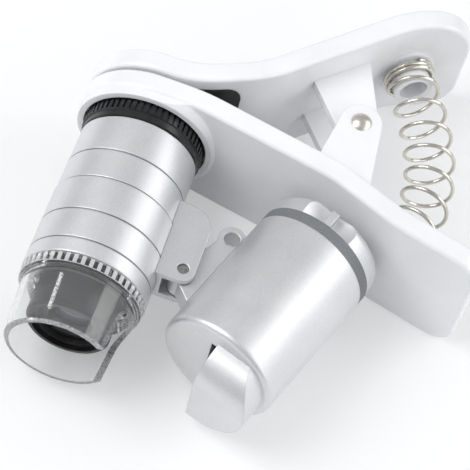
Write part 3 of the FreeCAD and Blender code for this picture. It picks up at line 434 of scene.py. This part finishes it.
def silver_lacquer(name, low, high, grooves=()):
    """Lacquer over flakes, with painted shade in the grooves at the given places down the barrel.
    """
    material, tree, place = blank_material(name)
    flakes = node(tree, "ShaderNodeTexVoronoi", {"Vector": place, "Scale": 1 / FLAKE_SIZE})
    flake = node(tree, "ShaderNodeSeparateColor", {0: flakes.outputs["Color"]})
    cloud = node(tree, "ShaderNodeTexNoise", {"Vector": place, "Scale": 1 / SPRAY_CLOUD})
    peel = node(tree, "ShaderNodeTexNoise", {"Vector": place, "Scale": 1 / SPRAY_PEEL})
    glitter = node(tree, "ShaderNodeMath", {0: flake, 1: FLAKE_SHARE}, operation="MULTIPLY")
    mist = node(tree, "ShaderNodeMath", {0: cloud, 1: 1 - FLAKE_SHARE}, operation="MULTIPLY")
    mixed = node(tree, "ShaderNodeMath", {0: glitter, 1: mist}, operation="ADD")
    colour = toned(tree, mixed, SILVER_SHADE, SILVER, (0.2, 0.8))
    down = node(tree, "ShaderNodeSeparateXYZ", {0: place}).outputs["Y"]
    # Painted shade: a darker grey line at each groove, where shade falls in the recess.
    for groove in grooves:
        groove_shade_mask = node(tree, "ShaderNodeMath", {0: down, 1: -groove * MM, 2: GROOVE_HALF},
                         operation="COMPARE")
        colour = node(tree, "ShaderNodeMix", {0: groove_shade_mask, 6: colour, 7: linear(GROOVE_PAINTED_SHADE)},
                      data_type="RGBA").outputs[2]
    bump = node(tree, "ShaderNodeBevel", {"Radius": LACQUER_EDGE}, samples=6)
    bump = node(tree, "ShaderNodeBump", {
        "Height": flake, "Distance": FLAKE_DEPTH, "Normal": bump})
    bump = node(tree, "ShaderNodeBump", {
        "Height": peel, "Distance": SPRAY_PEEL_DEPTH, "Normal": bump})
    close_material(tree, {
        "Base Color": colour, "Metallic": 0.72,
        "Roughness": node(tree, "ShaderNodeMapRange", {
            "Value": mixed, "To Min": low, "To Max": high}),
        "Coat Weight": 0.25, "Coat Roughness": 0.22, "Normal": bump})
    return material


dress(silver_lacquer("sprayed_silver_barrel", 0.38, 0.5, GROOVE_PLACES),
      "upper_sleeve", "lower_sleeve")
dress(silver_lacquer("sprayed_silver_lamp", 0.36, 0.48), "lamp_housing", "switch_cap")
dress(silver_lacquer("sprayed_silver_bracket", 0.3, 0.42), "hinge_bracket", "lamp_bracket")

# Hinge pin: plain steel wire, cropped and tumbled, brighter than the lacquer round it.
STEEL = "#B4B3B1"
STEEL_DARK = "#8E8D8B"
TUMBLE_HAZE = 0.3 * MM

dress(mottled("tumbled_steel", (STEEL_DARK, STEEL), (TUMBLE_HAZE, 4.0), (TUMBLE_HAZE, 4.0),
              (0.22, 0.38), 0.004 * MM, {"Metallic": 1.0}), "lamp_pin")

# Light skirt: clear polystyrene, moulded and polished. The crests of its toothed collar, the
# rim and the window's edges are left dull and catch the light, and flow lines run down from
# the gate. A frosted index line down the wall shows how far the barrel has been turned.
CLEAR_TINT = "#FBFCFC"
FLOW_WIDTH = 1.6 * MM
FLOW_STRETCH = (1.0, 0.15, 1.0)
FLOW_DEPTH = 0.012 * MM
FLOW_HAZE = 0.1
FROST_GRAIN = 0.4 * MM
CUT_FROST = 0.55
CUT_LIMIT = 0.75
COLLAR_END = 36.1 * MM
CREST_START = 10.2 * MM
CREST_FROST = 0.55
INDEX_ANGLE = math.radians(-20)
INDEX_WIDTH = math.radians(1.6)
INDEX_MIDDLE = 40.8 * MM
INDEX_HALF = 3.2 * MM

material, tree, place = blank_material("clear_moulded_polystyrene")
flow = node(tree, "ShaderNodeMapping", {"Vector": place, "Scale": FLOW_STRETCH})
wave = node(tree, "ShaderNodeTexNoise", {"Vector": flow, "Scale": 1 / FLOW_WIDTH})
grit = node(tree, "ShaderNodeTexNoise", {
    "Vector": place, "Scale": 1 / FROST_GRAIN, "Detail": 3.0})
along = node(tree, "ShaderNodeSeparateXYZ", {0: place}).outputs
height = node(tree, "ShaderNodeMath", {0: along["Z"], 1: MIDDLE_Z}, operation="SUBTRACT")

round_wall = node(tree, "ShaderNodeMath", {0: along["X"], 1: height}, operation="ARCTAN2")
on_line = node(tree, "ShaderNodeMath", {0: round_wall, 1: INDEX_ANGLE, 2: INDEX_WIDTH},
               operation="COMPARE")
in_span = node(tree, "ShaderNodeMath", {0: along["Y"], 1: -INDEX_MIDDLE, 2: INDEX_HALF},
               operation="COMPARE")
index = node(tree, "ShaderNodeMath", {0: on_line, 1: in_span}, operation="MULTIPLY")
index_frost = node(tree, "ShaderNodeMath", {0: index, 1: grit}, operation="MULTIPLY")

radial = node(tree, "ShaderNodeCombineXYZ", {"X": along["X"], "Z": height})
reach = node(tree, "ShaderNodeVectorMath", {0: radial}, operation="LENGTH").outputs["Value"]
outward = node(tree, "ShaderNodeVectorMath", {0: radial}, operation="NORMALIZE")
normal = node(tree, "ShaderNodeNewGeometry").outputs["True Normal"]
facing = node(tree, "ShaderNodeVectorMath", {0: outward, 1: normal},
              operation="DOT_PRODUCT").outputs["Value"]
facing = node(tree, "ShaderNodeMath", {0: facing}, operation="ABSOLUTE")
cut_face = node(tree, "ShaderNodeMath", {0: facing, 1: CUT_LIMIT}, operation="LESS_THAN")
on_collar = node(tree, "ShaderNodeMath", {0: along["Y"], 1: -COLLAR_END},
                 operation="GREATER_THAN")
below = node(tree, "ShaderNodeMath", {0: 1.0, 1: on_collar}, operation="SUBTRACT")
cut_face = node(tree, "ShaderNodeMath", {0: cut_face, 1: below}, operation="MULTIPLY")
cut_frost = node(tree, "ShaderNodeMath", {0: grit, 1: CUT_FROST}, operation="MULTIPLY")
cut_frost = node(tree, "ShaderNodeMath", {0: cut_face, 1: cut_frost}, operation="MULTIPLY")

crest = node(tree, "ShaderNodeMath", {0: reach, 1: CREST_START}, operation="GREATER_THAN")
crest = node(tree, "ShaderNodeMath", {0: on_collar, 1: crest}, operation="MULTIPLY")
crest_frost = node(tree, "ShaderNodeMath", {0: crest, 1: CREST_FROST}, operation="MULTIPLY")
frost = node(tree, "ShaderNodeMath", {0: index_frost, 1: cut_frost}, operation="MAXIMUM")
frost = node(tree, "ShaderNodeMath", {0: frost, 1: crest_frost}, operation="MAXIMUM")
haze = node(tree, "ShaderNodeMath", {0: wave, 1: FLOW_HAZE}, operation="MULTIPLY")
haze = node(tree, "ShaderNodeMath", {0: haze, 1: frost}, operation="ADD")
close_material(tree, {
    "Base Color": linear(CLEAR_TINT), "IOR": 1.49,
    "Transmission Weight": node(tree, "ShaderNodeMapRange", {
        "Value": frost, "To Min": 0.95, "To Max": 0.1}),
    "Roughness": node(tree, "ShaderNodeMapRange", {
        "Value": haze, "To Min": 0.01, "To Max": 0.5}),
    "Normal": node(tree, "ShaderNodeBump", {"Height": wave, "Distance": FLOW_DEPTH})})
dress(material, "light_skirt")

# Switch ring: dark grey ABS, spark-eroded to a dull grain, so that it barely shines.
RING_GREY = "#6E7174"
RING_GREY_PALE = "#7C7F82"
SPARK_GRAIN = 0.18 * MM

dress(mottled("grained_grey_abs", (RING_GREY, RING_GREY_PALE), (SPARK_GRAIN, 2.0),
              (SPARK_GRAIN, 2.0), (0.5, 0.62), 0.015 * MM, {"IOR": 1.53}), "lamp_ring")

# Lights: clear epoxy domes, one over a yellow phosphor and one over a violet chip. They stand
# on a green board, hold their colour when off, and are polished by their casting cup.
WHITE_DOME = "#F3EDB8"
PHOSPHOR = "#E6D36A"
VIOLET_DOME = "#B9A6E8"
VIOLET_CHIP = "#8C74D6"
EPOXY_CLOUD = 1.1 * MM


def cast_epoxy(name, colour, chip):
    """Clear dome that takes its colour from the chip under it."""
    material, tree, place = blank_material(name)
    cloud = node(tree, "ShaderNodeTexNoise", {"Vector": place, "Scale": 1 / EPOXY_CLOUD})
    close_material(tree, {
        "Base Color": toned(tree, cloud, chip, colour), "Transmission Weight": 0.7,
        "IOR": 1.54, "Roughness": node(tree, "ShaderNodeMapRange", {
            "Value": cloud, "To Min": 0.03, "To Max": 0.1})})
    return material


dress(cast_epoxy("white_light_epoxy", WHITE_DOME, PHOSPHOR), "white_led")
dress(cast_epoxy("violet_light_epoxy", VIOLET_DOME, VIOLET_CHIP), "violet_led")

# Board: glass-fibre laminate under green solder resist, which is glossy over a fine weave.
RESIST_GREEN = "#1F5B3A"
RESIST_GREEN_PALE = "#2C6F49"
WEAVE_PITCH = 0.5 * MM

material, tree, place = blank_material("green_solder_resist")
weave = node(tree, "ShaderNodeTexWave", {
    "Vector": place, "Scale": 0.5 / WEAVE_PITCH, "Distortion": 1.0})
close_material(tree, {
    "Base Color": toned(tree, weave.outputs["Fac"], RESIST_GREEN, RESIST_GREEN_PALE),
    "Roughness": node(tree, "ShaderNodeMapRange", {
        "Value": weave.outputs["Fac"], "To Min": 0.25, "To Max": 0.35}), "IOR": 1.5,
    "Normal": node(tree, "ShaderNodeBump", {
        "Height": weave.outputs["Fac"], "Distance": 0.01 * MM})})
dress(material, "led_board")

# Cell cage: natural white nylon, moulded, faintly waxy. Nobody sees it until the cap is off.
NYLON = "#E3E1D9"
NYLON_SHADE = "#D8D5CB"
NYLON_CLOUD = 2 * MM

dress(mottled("moulded_white_nylon", (NYLON_SHADE, NYLON), (NYLON_CLOUD, 2.0),
              (NYLON_CLOUD, 2.0), (0.4, 0.5), 0.01 * MM,
              {"IOR": 1.53, "Subsurface Weight": 0.1, "Subsurface Scale": 0.5 * MM}),
      "cell_holder")

# Button cells and contact: nickel-plated steel cans with a spun finish, and a sprung disc of
# rolled brass that has dulled a little where air reaches it.
CELL_STEEL = "#C2C2C0"
CELL_STEEL_DARK = "#A9A9A7"
SPUN_WIDTH = 1.2 * MM
SPUN_STRETCH = (1.0, 12.0, 1.0)
BRASS = "#C9A95C"
BRASS_DULL = "#A98B45"
BRASS_PATCH = 1.5 * MM

material, tree, place = blank_material("spun_cell_steel")
spun = node(tree, "ShaderNodeMapping", {"Vector": place, "Scale": SPUN_STRETCH})
lines = node(tree, "ShaderNodeTexNoise", {
    "Vector": spun, "Scale": 1 / SPUN_WIDTH, "Detail": 3.0})
close_material(tree, {
    "Base Color": toned(tree, lines, CELL_STEEL_DARK, CELL_STEEL), "Metallic": 1.0,
    "Roughness": node(tree, "ShaderNodeMapRange", {
        "Value": lines, "To Min": 0.24, "To Max": 0.36}),
    "Normal": node(tree, "ShaderNodeBump", {"Height": lines, "Distance": 0.003 * MM})})
dress(material, "button_cell_1", "button_cell_2", "button_cell_3")
dress(mottled("rolled_brass", (BRASS_DULL, BRASS), (BRASS_PATCH, 3.0), (BRASS_PATCH, 3.0),
              (0.26, 0.42), 0.004 * MM, {"Metallic": 1.0}), "cap_contact")

# Table: a plain white sheet that the microscope lies on. To the camera it is nearly white,
# and it keeps the soft shadows of the clip and barrel.
TABLE_WHITE = "#F4F5F6"
TABLE_GLOW = "#FFFFFF"
TABLE_GLOW_SHARE = 0.35
TABLE_HALF = 0.6

bottom = cad_box[0][2]
sheet = bpy.data.meshes.new("table")
sheet.from_pydata([(-TABLE_HALF, -TABLE_HALF, bottom), (TABLE_HALF, -TABLE_HALF, bottom),
                   (TABLE_HALF, TABLE_HALF, bottom), (-TABLE_HALF, TABLE_HALF, bottom)],
                  [], [(0, 1, 2, 3)])
table = bpy.data.objects.new("table", sheet)
bpy.context.scene.collection.objects.link(table)
material, tree, place = blank_material("white_card")
card = node(tree, "ShaderNodeBsdfDiffuse", {"Color": linear(TABLE_WHITE)})
glow = node(tree, "ShaderNodeEmission", {"Color": linear(TABLE_GLOW), "Strength": 1.0})
rays = node(tree, "ShaderNodeLightPath").outputs
seen = node(tree, "ShaderNodeMath", {
    0: rays["Is Glossy Ray"], 1: rays["Is Transmission Ray"]}, operation="MAXIMUM")
seen = node(tree, "ShaderNodeMath", {0: rays["Is Camera Ray"], 1: seen}, operation="MAXIMUM")
share = node(tree, "ShaderNodeMath", {0: seen, 1: TABLE_GLOW_SHARE}, operation="MULTIPLY")
mixed = node(tree, "ShaderNodeMixShader", {0: share, 1: card, 2: glow})
node(tree, "ShaderNodeOutputMaterial", {"Surface": mixed})
sheet.materials.append(material)

# Studio: a bright even room with three soft boxes, the largest above and to the left, which
# draws the long highlight down the barrel and the lamp.
ROOM_TOP = "#ECEDEF"
ROOM_SIDE = "#BDBFC2"
ROOM_STRENGTH = 0.62
AIM = Vector((20.3, -15.0, 12.0)) * MM

world = bpy.data.worlds.new("white_room")
bpy.context.scene.world = world
world.use_nodes = True
tree = world.node_tree
tree.nodes.clear()
way = node(tree, "ShaderNodeTexCoord").outputs["Generated"]
height = node(tree, "ShaderNodeSeparateXYZ", {0: way}).outputs["Z"]
sky = toned(tree, height, ROOM_SIDE, ROOM_TOP, (0.0, 0.7))
room = node(tree, "ShaderNodeBackground", {"Color": sky, "Strength": ROOM_STRENGTH})
behind = node(tree, "ShaderNodeBackground", {"Color": linear(TABLE_WHITE), "Strength": 1.0})
watched = node(tree, "ShaderNodeLightPath").outputs["Is Camera Ray"]
mixed = node(tree, "ShaderNodeMixShader", {0: watched, 1: room, 2: behind})
node(tree, "ShaderNodeOutputWorld", {"Surface": mixed})


def soft_box(name, azimuth, elevation, distance, size, power):
    """Square area lamp that looks at the middle of the object."""
    lamp = bpy.data.lights.new(name, "AREA")
    lamp.shape = "SQUARE"
    lamp.size = size
    lamp.energy = power
    holder = bpy.data.objects.new(name, lamp)
    turn, lift = math.radians(azimuth), math.radians(elevation)
    way = Vector((math.sin(turn) * math.cos(lift), -math.cos(turn) * math.cos(lift),
                  math.sin(lift)))
    holder.location = AIM + way * distance
    holder.rotation_euler = (-way).to_track_quat("-Z", "Y").to_euler()
    bpy.context.scene.collection.objects.link(holder)


soft_box("key_box", -75, 50, 0.45, 0.30, 1.3)
soft_box("fill_box", 75, 25, 0.5, 0.40, 0.7)
soft_box("back_box", 120, 30, 0.5, 0.30, 0.6)

# Camera: above the skirt's end and a little left, rolled so that the barrel leans down to the
# left. Its long lens keeps the near parallel edges of the photograph.
CAMERA_AZIMUTH = math.radians(-2.69)
CAMERA_ELEVATION = math.radians(58.06)
CAMERA_ROLL = math.radians(17.19)
CAMERA_DISTANCE = 415.4 * MM
SENSOR = 36.0
LENS_IN_SENSORS = 5.43
SHIFT_X = -0.008
SHIFT_Y = 0.0023
NEAREST = 0.01

view = bpy.data.cameras.new("camera")
view.sensor_width = SENSOR
view.lens = LENS_IN_SENSORS * SENSOR
view.shift_x = SHIFT_X
view.shift_y = SHIFT_Y
view.clip_start = NEAREST
camera = bpy.data.objects.new("camera", view)
ahead = Vector((math.sin(CAMERA_AZIMUTH) * math.cos(CAMERA_ELEVATION),
                math.cos(CAMERA_AZIMUTH) * math.cos(CAMERA_ELEVATION),
                -math.sin(CAMERA_ELEVATION)))
camera.location = AIM - ahead * CAMERA_DISTANCE
level = ahead.to_track_quat("-Z", "Y")
camera.rotation_euler = (level @ Quaternion((0, 0, 1), CAMERA_ROLL)).to_euler()
bpy.context.scene.collection.objects.link(camera)
bpy.context.scene.camera = camera
bpy.context.scene.view_settings.view_transform = "Standard"
